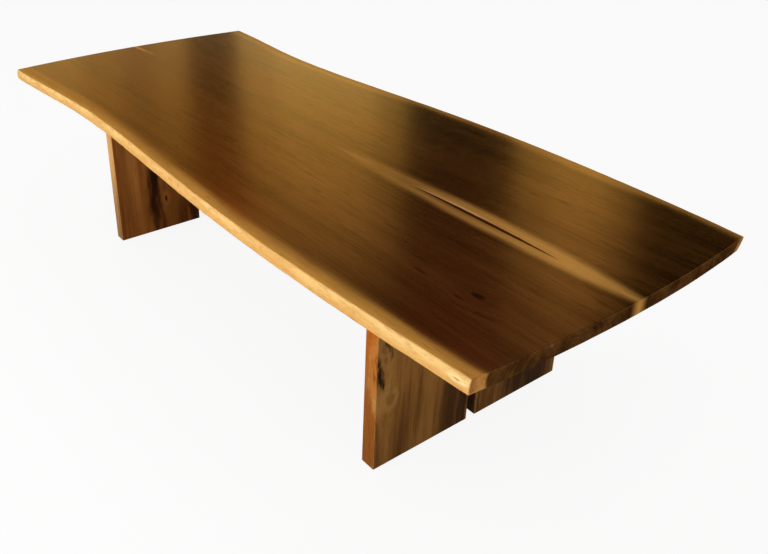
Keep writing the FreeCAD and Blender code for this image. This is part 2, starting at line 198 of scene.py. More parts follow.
def cloud(tree, vector, stretch, detail=2.0, roughness=0.5):
    """Noise at so many cells per metre along each axis, from 0 to 1 about one half."""
    spread = vector_calc(tree, "MULTIPLY", vector, stretch)
    pairs = {"Vector": spread, "Scale": 1.0, "Detail": detail, "Roughness": roughness}
    return node(tree, "ShaderNodeTexNoise", pairs).outputs["Fac"]


def drift(tree, vector, stretch, detail=2.0, roughness=0.5):
    """Noise about nought, for lines that wander."""
    return calc(tree, "SUBTRACT", cloud(tree, vector, stretch, detail, roughness), 0.5)


def open_group(name, inputs, outputs):
    """An empty shader group with its sockets. Returns its tree, what it is given and its output node."""
    tree = bpy.data.node_groups.new(name, "ShaderNodeTree")
    for socket, value in inputs.items():
        kind = "NodeSocketVector" if isinstance(value, tuple) else "NodeSocketFloat"
        tree.interface.new_socket(socket, in_out="INPUT", socket_type=kind).default_value = value
    for socket in outputs:
        kind = "NodeSocketVector" if socket == "Vector" else "NodeSocketFloat"
        tree.interface.new_socket(socket, in_out="OUTPUT", socket_type=kind)
    return tree, tree.nodes.new("NodeGroupInput").outputs, tree.nodes.new("NodeGroupOutput")


def close_group(tree, put, results):
    """Joins a group's results to its outputs."""
    for socket, value in results.items():
        tree.links.new(value, put.inputs[socket])
    return tree


def make_wood_grain():
    """Growth rings about a pith, broad streaks, fibres and pores, all drawn out along X."""
    sockets = {"Vector": (0.0, 0.0, 0.0), "Pith": (0.0, 0.0, 0.0), "Ring Width": 0.012, "Wander": 0.02}
    tree, given, put = open_group("wood_grain", sockets, ("Ring", "Streak", "Fibre", "Pore", "Height"))
    place = given["Vector"]
    from_pith = vector_calc(tree, "SUBTRACT", place, given["Pith"])
    radius = vector_length(tree, vector_calc(tree, "MULTIPLY", from_pith, (0.0, 1.0, 1.0)))
    sway = drift(tree, place, (0.8, 4.5, 4.5))
    ripple = drift(tree, place, (5.0, 24.0, 24.0))
    bend = calc(tree, "MULTIPLY_ADD", ripple, 0.16, sway)
    bent = calc(tree, "MULTIPLY_ADD", bend, given["Wander"], radius)
    turns = times(tree, calc(tree, "DIVIDE", bent, given["Ring Width"]), 2 * math.pi)
    wave = calc(tree, "MULTIPLY_ADD", calc(tree, "SINE", turns), 0.5, 0.5)
    ring = calc(tree, "POWER", wave, 2.2)
    streak = ramp(tree, cloud(tree, place, (0.55, 13.0, 13.0), 4.0, 0.6), 0.3, 0.7)
    fibre = cloud(tree, place, (6.0, 170.0, 170.0), 2.0, 0.6)
    pore = ramp(tree, cloud(tree, place, (18.0, 430.0, 430.0), 1.0), 0.60, 0.72)
    relief = calc(tree, "MULTIPLY_ADD", pore, -0.8, calc(tree, "MULTIPLY_ADD", ring, -0.2, fibre))
    results = {"Ring": ring, "Streak": streak, "Fibre": fibre, "Pore": pore, "Height": relief}
    return close_group(tree, put, results)


def make_knot():
    """A knot: grain that parts around a centre, with masks for its dark core and the ring around it."""
    sockets = {"Vector": (0.0, 0.0, 0.0), "Centre": (0.0, 0.0, 0.0), "Reach": 0.1, "Core": 0.02, "Slim": 0.42}
    tree, given, put = open_group("knot", sockets, ("Vector", "Core", "Halo"))
    place, centre = given["Vector"], given["Centre"]
    away = vector_calc(tree, "SUBTRACT", place, centre)
    ragged = drift(tree, place, (16.0, 60.0, 60.0), 3.0, 0.6)
    squeezed = vector_calc(tree, "MULTIPLY", away, vector_of(tree, given["Slim"], 1.0, 1.0))
    plain = vector_length(tree, squeezed)
    far = calc(tree, "MULTIPLY_ADD", times(tree, ragged, given["Core"]), 2.6, plain)
    near = ramp(tree, calc(tree, "DIVIDE", far, given["Reach"]), 0.0, 1.0, 1.0, 0.0)
    parted = calc(tree, "MULTIPLY_ADD", near, -0.85, 1.0)
    spread = vector_calc(tree, "MULTIPLY", away, vector_of(tree, 1.0, parted, parted))
    moved = vector_calc(tree, "ADD", spread, centre)
    core_share = calc(tree, "DIVIDE", far, given["Core"])
    core = ramp(tree, core_share, 0.35, 1.05, 1.0, 0.0)
    halo = times(tree, ramp(tree, core_share, 0.8, 1.4), ramp(tree, core_share, 1.5, 3.0, 1.0, 0.0))
    return close_group(tree, put, {"Vector": moved, "Core": core, "Halo": halo})


def make_arris_wear():
    """Where hands have rubbed the finish from the arrises: a broken mask along them."""
    sockets = {"Distance": 1.0, "Vector": (0.0, 0.0, 0.0), "Width": 0.004}
    tree, given, put = open_group("arris_wear", sockets, ("Mask",))
    patches = cloud(tree, given["Vector"], (22.0, 22.0, 22.0), 3.0, 0.65)
    width = times(tree, given["Width"], ramp(tree, patches, 0.35, 0.7, 0.3, 1.6))
    mask = ramp(tree, calc(tree, "DIVIDE", given["Distance"], width), 0.2, 1.0, 1.0, 0.0)
    return close_group(tree, put, {"Mask": mask})


GRAIN_GROUP = make_wood_grain()
KNOT_GROUP = make_knot()
WEAR_GROUP = make_arris_wear()


def use_group(tree, group, inputs):
    """Places a node group in a material and gives its outputs."""
    return node(tree, "ShaderNodeGroup", inputs, node_tree=group).outputs


def wood_grain(tree, place, pith, ring_width, wander):
    """The grain's masks at a place in a log."""
    given = {"Vector": place, "Pith": pith, "Ring Width": ring_width, "Wander": wander}
    return use_group(tree, GRAIN_GROUP, given)


def part_at_knots(tree, place, knots):
    """A place with the grain parted around knots, and the masks of their cores and halos."""
    cores, halos = [], []
    for knot in knots:
        sizes = {"Centre": knot.centre, "Reach": knot.reach, "Core": knot.core, "Slim": knot.slim}
        made = use_group(tree, KNOT_GROUP, {"Vector": place, **sizes})
        place = made["Vector"]
        cores.append(times(tree, made["Core"], knot.deep))
        halos.append(times(tree, made["Halo"], knot.pale))
    return place, cores, halos


def cleared_tree(owner):
    """The emptied node tree of a material or a world."""
    owner.use_nodes = True
    owner.node_tree.nodes.clear()
    return owner.node_tree


def new_material(name):
    """An empty material with its Principled shader joined to its output."""
    material = bpy.data.materials.new(name)
    tree = cleared_tree(material)
    shader = tree.nodes.new("ShaderNodeBsdfPrincipled")
    node(tree, "ShaderNodeOutputMaterial", {"Surface": shader.outputs["BSDF"]})
    return material, tree, shader


def set_finish(tree, shader, colour, rough):
    """Feeds a shader its colour and roughness."""
    tree.links.new(colour, shader.inputs["Base Color"])
    tree.links.new(rough, shader.inputs["Roughness"])


def set_relief(tree, shader, height, strength, depth):
    """Feeds a shader fine relief."""
    bump = node(tree, "ShaderNodeBump", {"Height": height, "Strength": strength, "Distance": depth})
    tree.links.new(bump.outputs["Normal"], shader.inputs["Normal"])


def object_axes(tree):
    """A point's place in the table's frame, by axis."""
    return axes_of(tree, tree.nodes.new("ShaderNodeTexCoord").outputs["Object"])


def along_grain(tree, axes, order):
    """A place with its axes put in an order in which X runs with the grain."""
    return vector_of(tree, *[axes[axis] for axis in order])


def facing_axes(tree):
    """The way a surface faces, by axis."""
    return axes_of(tree, tree.nodes.new("ShaderNodeNewGeometry").outputs["Normal"])


def point_mark(tree, name):
    """A value that the mesh keeps at its points."""
    return node(tree, "ShaderNodeAttribute", attribute_name=name).outputs["Fac"]


def worn_arrises(tree, place):
    """The mask of rubbed arrises on a piece whose mesh keeps each point's distance to one."""
    return use_group(tree, WEAR_GROUP, {"Distance": point_mark(tree, "arris"), "Vector": place})["Mask"]


# A knot parts the grain within its reach. It is drawn out along the grain by slim, and deep and pale are
# the shares of its core's and its ring's colour. A band has its place across a plank and half its width.
Knot = namedtuple("Knot", "centre reach core slim deep pale")
Band = namedtuple("Band", "across half shade")
Patches = namedtuple("Patches", "stretch low high")
BROAD_PATCHES = Patches((1.6, 8.0, 8.0), 0.3, 0.7)
BLOCK_PATCHES = Patches((2.6, 13.0, 13.0), 0.32, 0.66)
PLANK_RING, PLANK_WANDER = 0.023, 0.09
BAND_SWAY = 3.6
BAND_DARK, CORE_DARK, PORE_DARK = paint(38, 19, 7), paint(22, 11, 4), paint(38, 20, 8)


def plank_bands(tree, colour, across, seat, patch, bands):
    """Draws dark upright bands that wander, at chosen places across a plank."""
    sway = drift(tree, seat, (3.0, 12.0, 12.0), 4.0, 0.6)
    kept = ramp(tree, patch, 0.0, 0.8, 1.0, 0.7)
    for band in bands:
        wandering = calc(tree, "MULTIPLY_ADD", sway, BAND_SWAY * band.half, across)
        off = calc(tree, "ABSOLUTE", calc(tree, "SUBTRACT", wandering, band.across))
        share = times(tree, ramp(tree, off, 0.3 * band.half, band.half, band.shade, 0.0), kept)
        colour = blend_colours(tree, share, colour, BAND_DARK)
    return colour


def plank_wood(name, tones, edge, shift, pith, bands, knots=(), patches=BROAD_PATCHES):
    """Planed wood with upright grain: patches, streaks, dark bands, knots, redder narrow edges and painted
    light.
    """
    dark, middle, light = tones
    material, tree, shader = new_material(name)
    axes = object_axes(tree)
    place, cores, halos = part_at_knots(tree, along_grain(tree, axes, "ZYX"), knots)
    seat = vector_calc(tree, "ADD", place, shift)
    heart = tuple(p + s for p, s in zip(pith, shift))
    grain = wood_grain(tree, seat, heart, PLANK_RING, PLANK_WANDER)
    patch = ramp(tree, cloud(tree, seat, patches.stretch, 3.0), patches.low, patches.high)
    tone = weigh(tree, (grain["Fibre"], 0.34), (grain["Streak"], 0.34), (patch, 0.36), (grain["Ring"], -0.1))
    # Painted light: the tone grows lighter towards the top of the plank.
    tone = calc(tree, "ADD", tone, ramp(tree, axes["Z"], 0.05, 0.56, -0.08, 0.28))
    colour = blend_colours(tree, ramp(tree, tone, 0.1, 0.5), dark, middle)
    colour = blend_colours(tree, ramp(tree, tone, 0.5, 0.95), colour, light)
    narrow = ramp(tree, calc(tree, "ABSOLUTE", facing_axes(tree)["Y"]), 0.4, 0.9, 0.0, 0.95)
    edge_colour = blend_colours(tree, ramp(tree, tone, 0.1, 0.9, 0.6, 0.0), edge, dark)
    # Painted shade: the narrow edges grow darker towards the floor.
    edge_colour = blend_colours(tree, ramp(tree, axes["Z"], 0.0, 0.5, 0.5, 0.0), edge_colour, dark)
    colour = blend_colours(tree, narrow, colour, edge_colour)
    colour = plank_bands(tree, colour, axes["Y"], seat, patch, bands)
    for halo in halos:
        colour = blend_colours(tree, halo, colour, light)
    for core in cores:
        colour = blend_colours(tree, core, colour, CORE_DARK)
    colour = blend_colours(tree, times(tree, grain["Pore"], 0.3), colour, PORE_DARK)
    worn = worn_arrises(tree, place)
    colour = blend_colours(tree, times(tree, worn, 0.3), colour, light)
    rough = calc(tree, "MULTIPLY_ADD", grain["Fibre"], 0.14, 0.46)
    set_finish(tree, shader, colour, calc(tree, "MULTIPLY_ADD", worn, -0.08, rough))
    set_relief(tree, shader, grain["Height"], 0.3, 0.0006)
    shader.inputs["Specular IOR Level"].default_value = 0.01
    shader.inputs["Metallic"].default_value = 0.06
    return material


def add_plank(name, material, hollows=()):
    """A plank's mesh: eased arrises, faces that waver a little, and a hollow where a knot has shrunk."""
    low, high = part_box(name)
    sides = [lattice_steps(length, PLANK_EASE, cells) for length, cells in zip(high - low, PLANK_CELLS)]
    points, arris, faces = eased_shell(sides, PLANK_EASE)
    points += np.array(low)
    side = np.sign(points[:, 0] - (low.x + high.x) / 2)
    flat = np.clip(arris / ARRIS_CALM, 0, 1)
    points[:, 0] -= side * flat * PLANK_WAVER * (0.5 + 0.5 * waver(points, PLANK_RIPPLES))
    for across, height in hollows:
        away = np.hypot((points[:, 1] - across) / HOLLOW_WIDE, (points[:, 2] - height) / HOLLOW_TALL)
        points[:, 0] -= (side > 0) * KNOT_HOLLOW * np.exp(-away**2 * HOLLOW_STEEP)
    add_piece(name + "_wood", points, faces, [name], material, {"arris": arris})


near_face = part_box("near_left_plank")[1].x
far_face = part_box("far_left_plank")[1].x
BIG_KNOT_ACROSS, BIG_KNOT_HEIGHT = -0.426, 0.375
NEAR_KNOTS = (
    Knot((BIG_KNOT_HEIGHT, BIG_KNOT_ACROSS, near_face), reach=0.12, core=0.021, slim=0.32, deep=0.93,
         pale=0.3),
    Knot((0.5, -0.412, near_face), reach=0.05, core=0.012, slim=0.12, deep=0.7, pale=0.0),
    Knot((0.262, -0.398, near_face), reach=0.07, core=0.014, slim=0.6, deep=0.1, pale=0.4))
FAR_KNOTS = (Knot((0.167, -0.194, far_face), reach=0.06, core=0.008, slim=0.42, deep=0.9, pale=0.3),)

near_left_wood = plank_wood(
    "near_left_plank_wood", tones=(paint(98, 62, 25), paint(154, 105, 50), paint(190, 142, 77)),
    edge=paint(178, 92, 24), shift=(3.1, 0.4, 0.2), pith=(0.0, -0.31, near_face + 0.22),
    bands=(Band(-0.036, 0.028, 0.8), Band(-0.10, 0.03, 0.5)), knots=NEAR_KNOTS)
# On this plank the dark edge colour and the band at 0.03, by the gap between the near planks, are painted
# shade for the shadow in that gap.
near_right_wood = plank_wood(
    "near_right_plank_wood", tones=(paint(60, 36, 14), paint(112, 72, 32), paint(190, 140, 76)),
    edge=paint(76, 42, 18), shift=(7.7, 1.9, 0.2), pith=(0.0, 0.30, near_face + 0.24),
    bands=(Band(0.275, 0.028, 0.7), Band(0.03, 0.014, 0.7)), patches=BLOCK_PATCHES)
far_left_wood = plank_wood(
    "far_left_plank_wood", tones=(paint(84, 46, 18), paint(138, 82, 34), paint(170, 110, 52)),
    edge=paint(212, 160, 98), shift=(5.3, 2.7, 0.9), pith=(0.0, -0.16, far_face + 0.26),
    bands=(Band(-0.258, 0.038, 0.98), Band(-0.045, 0.035, 0.9), Band(-0.15, 0.08, 0.45)), knots=FAR_KNOTS)
far_right_wood = plank_wood(
    "far_right_plank_wood", tones=(paint(88, 52, 22), paint(142, 92, 42), paint(176, 124, 62)),
    edge=paint(160, 104, 50), shift=(9.1, 3.6, 1.4), pith=(0.0, 0.22, far_face + 0.25),
    bands=(Band(0.31, 0.018, 0.6),))
add_plank("near_left_plank", near_left_wood, [(BIG_KNOT_ACROSS, BIG_KNOT_HEIGHT)])
add_plank("near_right_plank", near_right_wood)
add_plank("far_left_plank", far_left_wood)
add_plank("far_right_plank", far_right_wood)


# The glides
# Low turned pads of dark nylon, each with a spigot pressed into a plank's foot. They keep the end
# grain off the floor and let the table slide.
def glide_nylon():
    """Moulded nylon, dull black with fine speckle."""
    material, tree, shader = new_material("glide_nylon")
    place = along_grain(tree, object_axes(tree), "XYZ")
    speckle = cloud(tree, place, (900.0, 900.0, 900.0), 2.0)
    colour = blend_colours(tree, speckle, paint(22, 22, 23), paint(40, 39, 38))
    set_finish(tree, shader, colour, calc(tree, "MULTIPLY_ADD", speckle, 0.2, 0.5))
    set_relief(tree, shader, speckle, 0.2, 0.0002)
    return material


def dress(names, material):
    """Gives CAD nodes that stay in view a finish."""
    for name in names:
        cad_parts[name].data.materials.clear()
        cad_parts[name].data.materials.append(material)


dress(["near_glides", "far_glides"], glide_nylon())


# The bearers and the centre batten
# Sawn rails of the planks' wood, laid across under the top. Two bearers clamp the heads of each
# support's planks and carry the slabs, and a flat batten at mid-length keeps the slabs level.
RAILS = ("near_outer_bearer", "near_inner_bearer", "far_inner_bearer", "far_outer_bearer", "centre_batten")


def rail_wood():
    """Oiled wood with its grain along the rail, not polished."""
    material, tree, shader = new_material("rail_wood")
    place = along_grain(tree, object_axes(tree), "YXZ")
    grain = wood_grain(tree, place, (0.0, 0.0, 0.45), 0.015, 0.05)
    tone = weigh(tree, (grain["Fibre"], 0.4), (grain["Streak"], 0.6))
    colour = blend_colours(tree, ramp(tree, tone, 0.15, 0.8), paint(88, 58, 30), paint(158, 112, 60))
    colour = blend_colours(tree, times(tree, grain["Ring"], 0.3), colour, paint(70, 44, 22))
    colour = blend_colours(tree, times(tree, grain["Pore"], 0.5), colour, paint(38, 22, 10))
    set_finish(tree, shader, colour, calc(tree, "MULTIPLY_ADD", grain["Fibre"], 0.2, 0.5))
    set_relief(tree, shader, grain["Height"], 0.4, 0.0006)
    shader.inputs["Specular IOR Level"].default_value = 0.25
    return material


dress(RAILS, rail_wood())


# The two slabs of the top
# Two slabs sawn from one log and opened like a book, each with its natural outer edge. Dark
# heartwood with pale sapwood under the bark line; planed flat, glued along the joint and oiled.
SLAB_EASE = 0.003
SLAB_CELLS = (230, 46, 5)
TOP_WAVER, TOP_RIPPLES = 0.0002, (3.0, 7.0, 1.0)
END_WAVER, END_RIPPLES, END_DEPTH = 0.0009, (1.0, 16.0, 40.0), 0.006
EDGE_WAVER, EDGE_BELLY, EDGE_DEPTH = 0.0016, 0.003, 0.012
EDGE_RIPPLES, EDGE_FINE_RIPPLES = (9.0, 9.0, 30.0), (26.0, 26.0, 60.0)
LEVEL_SLACK = 1e-5
LIVE_EDGE_FROM, END_FROM = 0.45, 1.4
SETTLE_PASSES = 8
VOID_START, VOID_END = 0.610, 1.275
VOID_DEPTHS = {"left_slab": 0.004, "right_slab": 0.0145}
VOID_LEAN, VOID_PEAK = 0.9, 0.2687
VOID_FOOT, VOID_FLARE = 0.15, 2.5
VOID_RAGGED, VOID_RIPPLES = 0.0012, (40.0, 1.0, 25.0)
ON_JOINT, BY_JOINT, ON_TOP = 1e-6, 0.05, 0.98
# The painted highlight along the opening's rim: its width, where it ends and how it fades.
RIM_WIDTH, RIM_END, RIM_FADE = 0.004, 1.0, 0.1
STAIN_WIDTH = 0.014
LENS_STATIONS = (0.14, 0.30, 0.45, 0.62, 0.95, 1.17, 1.40, 1.53)
LENS_REACH = {"left_slab": (-0.02, 0.012, 0.028, 0.048, 0.051, 0.045, 0.030, 0.018),
              "right_slab": (-0.02, 0.022, 0.038, 0.058, 0.065, 0.058, 0.038, 0.025)}

top_low, top_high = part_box("left_slab")
joint_place = top_high.y


def slab_outline(slab, level):
    """A packed slab's outline at one height: its live edge as (x, y) points, its ends as (y, x) points."""
    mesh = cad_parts[slab].data
    place = np.array([v.co for v in mesh.vertices])
    uses = Counter()
    for face in mesh.polygons:
        if all(abs(place[v][2] - level) < LEVEL_SLACK for v in face.vertices):
            uses.update(face.edge_keys)
    runs = {"edge": set(), "far": set(), "near": set()}
    for edge in [edge for edge, count in uses.items() if count == 1]:
        first, last = place[edge[0]], place[edge[1]]
        lengthwise = abs(first[0] - last[0]) > abs(first[1] - last[1])
        if lengthwise and abs(first[1]) > LIVE_EDGE_FROM:
            runs["edge"] |= {tuple(p[:2]) for p in (first, last)}
        elif not lengthwise and abs(first[0]) > END_FROM:
            runs["far" if first[0] < 0 else "near"] |= {(p[1], p[0]) for p in (first, last)}
    return {name: np.array(sorted(run)) for name, run in runs.items()}


def along_run(run, at):
    """A smooth curve through a run of points, read at given places."""
    stations, values = run.T
    slopes = np.gradient(values, stations)
    i = np.clip(np.searchsorted(stations, at) - 1, 0, len(stations) - 2)
    step = stations[i + 1] - stations[i]
    t = np.clip((at - stations[i]) / step, 0, 1)
    ends = values[i] * (2 * t**3 - 3 * t**2 + 1) + values[i + 1] * (3 * t**2 - 2 * t**3)
    return ends + step * (slopes[i] * (t**3 - 2 * t**2 + t) + slopes[i + 1] * (t**3 - t**2))


def void_bay(x, depth):
    """How far the joint's edge stands back at the natural opening."""
    share = np.clip((x - VOID_START) / (VOID_END - VOID_START), 0, 1)
    return depth * share**VOID_LEAN * (1 - share) / VOID_PEAK


def add_slab(slab, material):
    """One slab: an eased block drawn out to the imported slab's outline, with a live edge that ripples."""
    low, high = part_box(slab)
    size = high - low
    side = 1 if slab == "right_slab" else -1
    sides = [lattice_steps(length, SLAB_EASE, cells) for length, cells in zip(size, SLAB_CELLS)]
    shell, arris, faces = eased_shell(sides, SLAB_EASE, joint=True)
    if side < 0:
        faces = [face[::-1] for face in faces]
    u, v, w = (shell / np.array(size)).T
    under, over = slab_outline(slab, low.z), slab_outline(slab, high.z)

    def between(run, at):
        return (1 - w) * along_run(under[run], at) + w * along_run(over[run], at)

    taper = VOID_FOOT + (1 - VOID_FOOT) * np.clip(VOID_FLARE * w - 1, 0, 1)
    y = joint_place + v * (between("edge", (u - 0.5) * size.x) - joint_place)
    for _ in range(SETTLE_PASSES):
        x = (1 - u) * between("far", y) + u * between("near", y)
        inner = joint_place + side * void_bay(x, VOID_DEPTHS[slab]) * taper
        y = inner + v * (between("edge", x) - inner)
    points = np.stack([x, y, low.z + w * size.z], axis=1)
    bark = (1 - v) * np.abs(between("edge", x) - joint_place)
    lens = np.interp(x, LENS_STATIONS, LENS_REACH[slab]) - np.abs(y - joint_place)
    opening = void_bay(x, 1.0)

    ripple = waver(points, EDGE_RIPPLES) + 0.5 * waver(points, EDGE_FINE_RIPPLES)
    belly = 4 * w * (1 - w) * EDGE_BELLY
    points[:, 1] += side * np.exp(-bark / EDGE_DEPTH) * (belly + EDGE_WAVER * ripple)
    ragged = VOID_RAGGED * waver(points, VOID_RIPPLES)
    points[:, 1] += side * (v < BY_JOINT) * opening * taper * ragged
    on_end = np.exp(-np.minimum(u, 1 - u) * size.x / END_DEPTH)
    points[:, 0] += on_end * END_WAVER * waver(points, END_RIPPLES)
    flat = np.where(w > 0.5, 1, -1) * np.clip(arris / ARRIS_CALM, 0, 1)
    points[:, 2] += flat * TOP_WAVER * waver(points, TOP_RIPPLES)

    from_void = np.abs(y - inner)
    # A painted highlight along the opening's upper edge on the right slab, fading out towards the near end.
    rim_highlight = np.exp(-from_void / RIM_WIDTH) * opening * np.clip((RIM_END - x) / RIM_FADE, 0, 1)
    marks = {"arris": arris, "bark": bark, "lens": lens, "void": (v < ON_JOINT) * opening,
             "rim_highlight": rim_highlight * (w > ON_TOP) * (side > 0),
             "stain": np.exp(-from_void / STAIN_WIDTH) * opening * (side < 0)}
    add_piece(slab + "_wood", points, faces, [slab], material, marks)


# Sapwood has one width on the top and one at the sawn ends, and share is how much of it the top shows.
# A pin has the colours of the ring around it and of its heart.
Sap = namedtuple("Sap", "top end share")
Pin = namedtuple("Pin", "centre core slim ring heart")
SLAB_SHIFT = (2.0, 0.0, 0.0)
SLAB_PITH = (0.0, 0.30, top_low.z - 0.10)
SLAB_RING, SLAB_WANDER = 0.016, 0.11
STREAK_START, STREAK_END, STREAK_ASIDE = -1.24, -1.50, 0.020
STREAK_TIP, STREAK_SPREAD = 0.004, 0.016
SHEEN_TINT = (1.0, 0.9, 0.54, 1.0)
HEART_DARK, HEART_MIDDLE, HEART_LIGHT = paint(129, 75, 33), paint(147, 88, 40), paint(158, 98, 46)
FIGURE_DARK, TOP_KNOT_RING, TOP_KNOT_CORE = paint(60, 32, 12), paint(90, 54, 22), paint(34, 17, 7)
END_DARK, END_LIGHT = paint(56, 34, 15), paint(104, 68, 33)
SAP_PALE, SAP_LOW, SAP_BLUSH = paint(235, 196, 127), paint(208, 159, 90), paint(208, 153, 82)
SAP_SPECK, SAP_CRUST, SAP_INNER = paint(186, 130, 72), paint(170, 116, 66), paint(206, 148, 72)
SAP_FIBRE, SAP_POLISHED = paint(206, 148, 78), paint(252, 180, 82)
END_SAP_DARK, END_SAP_PALE = paint(178, 112, 55), paint(230, 163, 88)
# The second colour here is a painted highlight for the rim of the opening.
JOINT_PALE, RIM_HIGHLIGHT = paint(255, 184, 92), paint(255, 208, 132)
# The opening's walls go from their own colour at the top to painted shade lower down.
WALL_DEEP_SHADE, WALL_LIGHT = paint(56, 26, 11), paint(144, 76, 32)
TOP_PORE, TOP_WORN = paint(48, 26, 10), paint(170, 120, 60)


def slab_faces(tree):
    """The masks of a slab's polished upper face and of its sawn ends."""
    facing = facing_axes(tree)
    upward = ramp(tree, facing["Z"], 0.6, 0.95)
    endward = calc(tree, "ABSOLUTE", facing["X"])
    polished = times(tree, upward, ramp(tree, endward, 0.1, 0.35, 1.0, 0.0))
    brink = times(tree, ramp(tree, endward, 0.1, 0.3), upward)
    return polished, calc(tree, "MAXIMUM", ramp(tree, endward, 0.3, 0.8), brink)


def heartwood(tree, tone, seat, lengthwise):
    """Dark heartwood, with flecks and fine dark lines that grow towards the near end."""
    colour = blend_colours(tree, ramp(tree, tone, 0.05, 0.5), HEART_DARK, HEART_MIDDLE)
    colour = blend_colours(tree, ramp(tree, tone, 0.45, 0.85), colour, HEART_LIGHT)
    fleck = cloud(tree, seat, (7.0, 46.0, 46.0), 3.0)
    line = cloud(tree, seat, (2.4, 110.0, 110.0), 3.0, 0.6)
    figure = calc(tree, "MAXIMUM", ramp(tree, fleck, 0.58, 0.80), ramp(tree, line, 0.56, 0.72, 0.0, 0.8))
    figure = times(tree, figure, ramp(tree, lengthwise, -0.8, 1.0, 0.15, 0.55))
    return blend_colours(tree, figure, colour, FIGURE_DARK)


def sapwood_share(tree, depth, mottle, polished, cut, sap):
    """How far sapwood takes over: all of a live edge, fading inwards on the top and sharper at the ends."""
    inner = ramp(tree, cut, 0.0, 1.0, 0.1 * sap.top, 0.8 * sap.end)
    outer = ramp(tree, cut, 0.0, 1.0, 1.3 * sap.top, sap.end)
    broken = ramp(tree, mottle, 0.3, 0.62, ramp(tree, polished, 0.0, 1.0, 1.0, 0.82), 1.0)
    share = times(tree, ramp(tree, depth, inner, outer, 1.0, 0.0), broken)
    return times(tree, share, ramp(tree, polished, 0.0, 1.0, 1.0, sap.share))


def sapwood(tree, height, seat, fibre, depth, mottle, polished, cut, sap):
    """Pale sapwood, blushed and specked, duller low on the live edge and at the sawn ends."""
    low = ramp(tree, height, top_low.z, top_high.z - 0.004, 1.0, 0.0)
    colour = blend_colours(tree, low, SAP_PALE, SAP_LOW)
    blush = ramp(tree, cloud(tree, seat, (5.0, 30.0, 30.0), 3.0), 0.42, 0.66)
    colour = blend_colours(tree, times(tree, blush, 0.6), colour, SAP_BLUSH)
    speck = ramp(tree, cloud(tree, seat, (26.0, 90.0, 90.0), 3.0, 0.6), 0.48, 0.66, 0.0, 0.4)
    colour = blend_colours(tree, speck, colour, SAP_SPECK)
    ragged = calc(tree, "MULTIPLY_ADD", mottle, 0.03, height)
    crust = ramp(tree, ragged, top_low.z + 0.012, top_low.z + 0.020, 0.4, 0.0)
    colour = blend_colours(tree, crust, colour, SAP_CRUST)
    outer = ramp(tree, depth, 0.0, 0.3 * sap.end, 1.0, 0.0)
    colour = blend_colours(tree, outer, SAP_INNER, colour)
    colour = blend_colours(tree, times(tree, fibre, 0.25), colour, SAP_FIBRE)
    colour = blend_colours(tree, times(tree, polished, 0.9), colour, SAP_POLISHED)
    end_colour = blend_colours(tree, ramp(tree, mottle, 0.35, 0.65), END_SAP_DARK, END_SAP_PALE)
    return blend_colours(tree, times(tree, cut, 0.85), colour, end_colour)


def joint_pale_share(tree, axes, grain, sway):
    """Where pale wood shows along the joint: a lens about the opening and a short streak at the far end."""
    inside = calc(tree, "MULTIPLY_ADD", sway, 0.016, point_mark(tree, "lens"))
    lens = times(tree, ramp(tree, inside, -0.018, 0.028), ramp(tree, axes["X"], 0.25, 1.05, 0.2, 1.0))
    along = ramp(tree, axes["X"], STREAK_END, STREAK_START, 1.0, 0.0)
    middle = calc(tree, "MULTIPLY_ADD", along, -STREAK_ASIDE, joint_place)
    off = calc(tree, "ABSOLUTE", calc(tree, "SUBTRACT", axes["Y"], middle))
    half = calc(tree, "MULTIPLY_ADD", along, STREAK_SPREAD, STREAK_TIP)
    streak = times(tree, ramp(tree, off, 0.0, half, 1.0, 0.0), along)
    fibre = ramp(tree, grain["Fibre"], 0.3, 0.7, 0.85, 1.0)
    broad = ramp(tree, grain["Streak"], 0.1, 0.9, 0.85, 1.0)
    clean = calc(tree, "MULTIPLY_ADD", point_mark(tree, "stain"), -0.4, 1.0)
    return times(tree, calc(tree, "MAXIMUM", lens, streak), fibre, broad, clean)


def opening_wall_and_shade(tree, height):
    """The share and colour of the opening's walls, with painted shade that darkens them as they go down."""
    under = ramp(tree, height, top_high.z - 0.002, top_high.z - 0.0005, 1.0, 0.0)
    share = times(tree, ramp(tree, point_mark(tree, "void"), 0.02, 0.2), under)
    shade = ramp(tree, height, top_high.z - 0.016, top_high.z)
    return share, blend_colours(tree, shade, WALL_DEEP_SHADE, WALL_LIGHT)


def draw_pins(tree, colour, place, pins):
    """Draws pin knots and chips too small to part the grain."""
    for pin in pins:
        sizes = {"Centre": pin.centre, "Reach": 2 * pin.core, "Core": pin.core, "Slim": pin.slim}
        made = use_group(tree, KNOT_GROUP, {"Vector": place, **sizes})
        colour = blend_colours(tree, times(tree, made["Halo"], 0.6), colour, pin.ring)
        colour = blend_colours(tree, times(tree, made["Core"], 0.85), colour, pin.heart)
    return colour


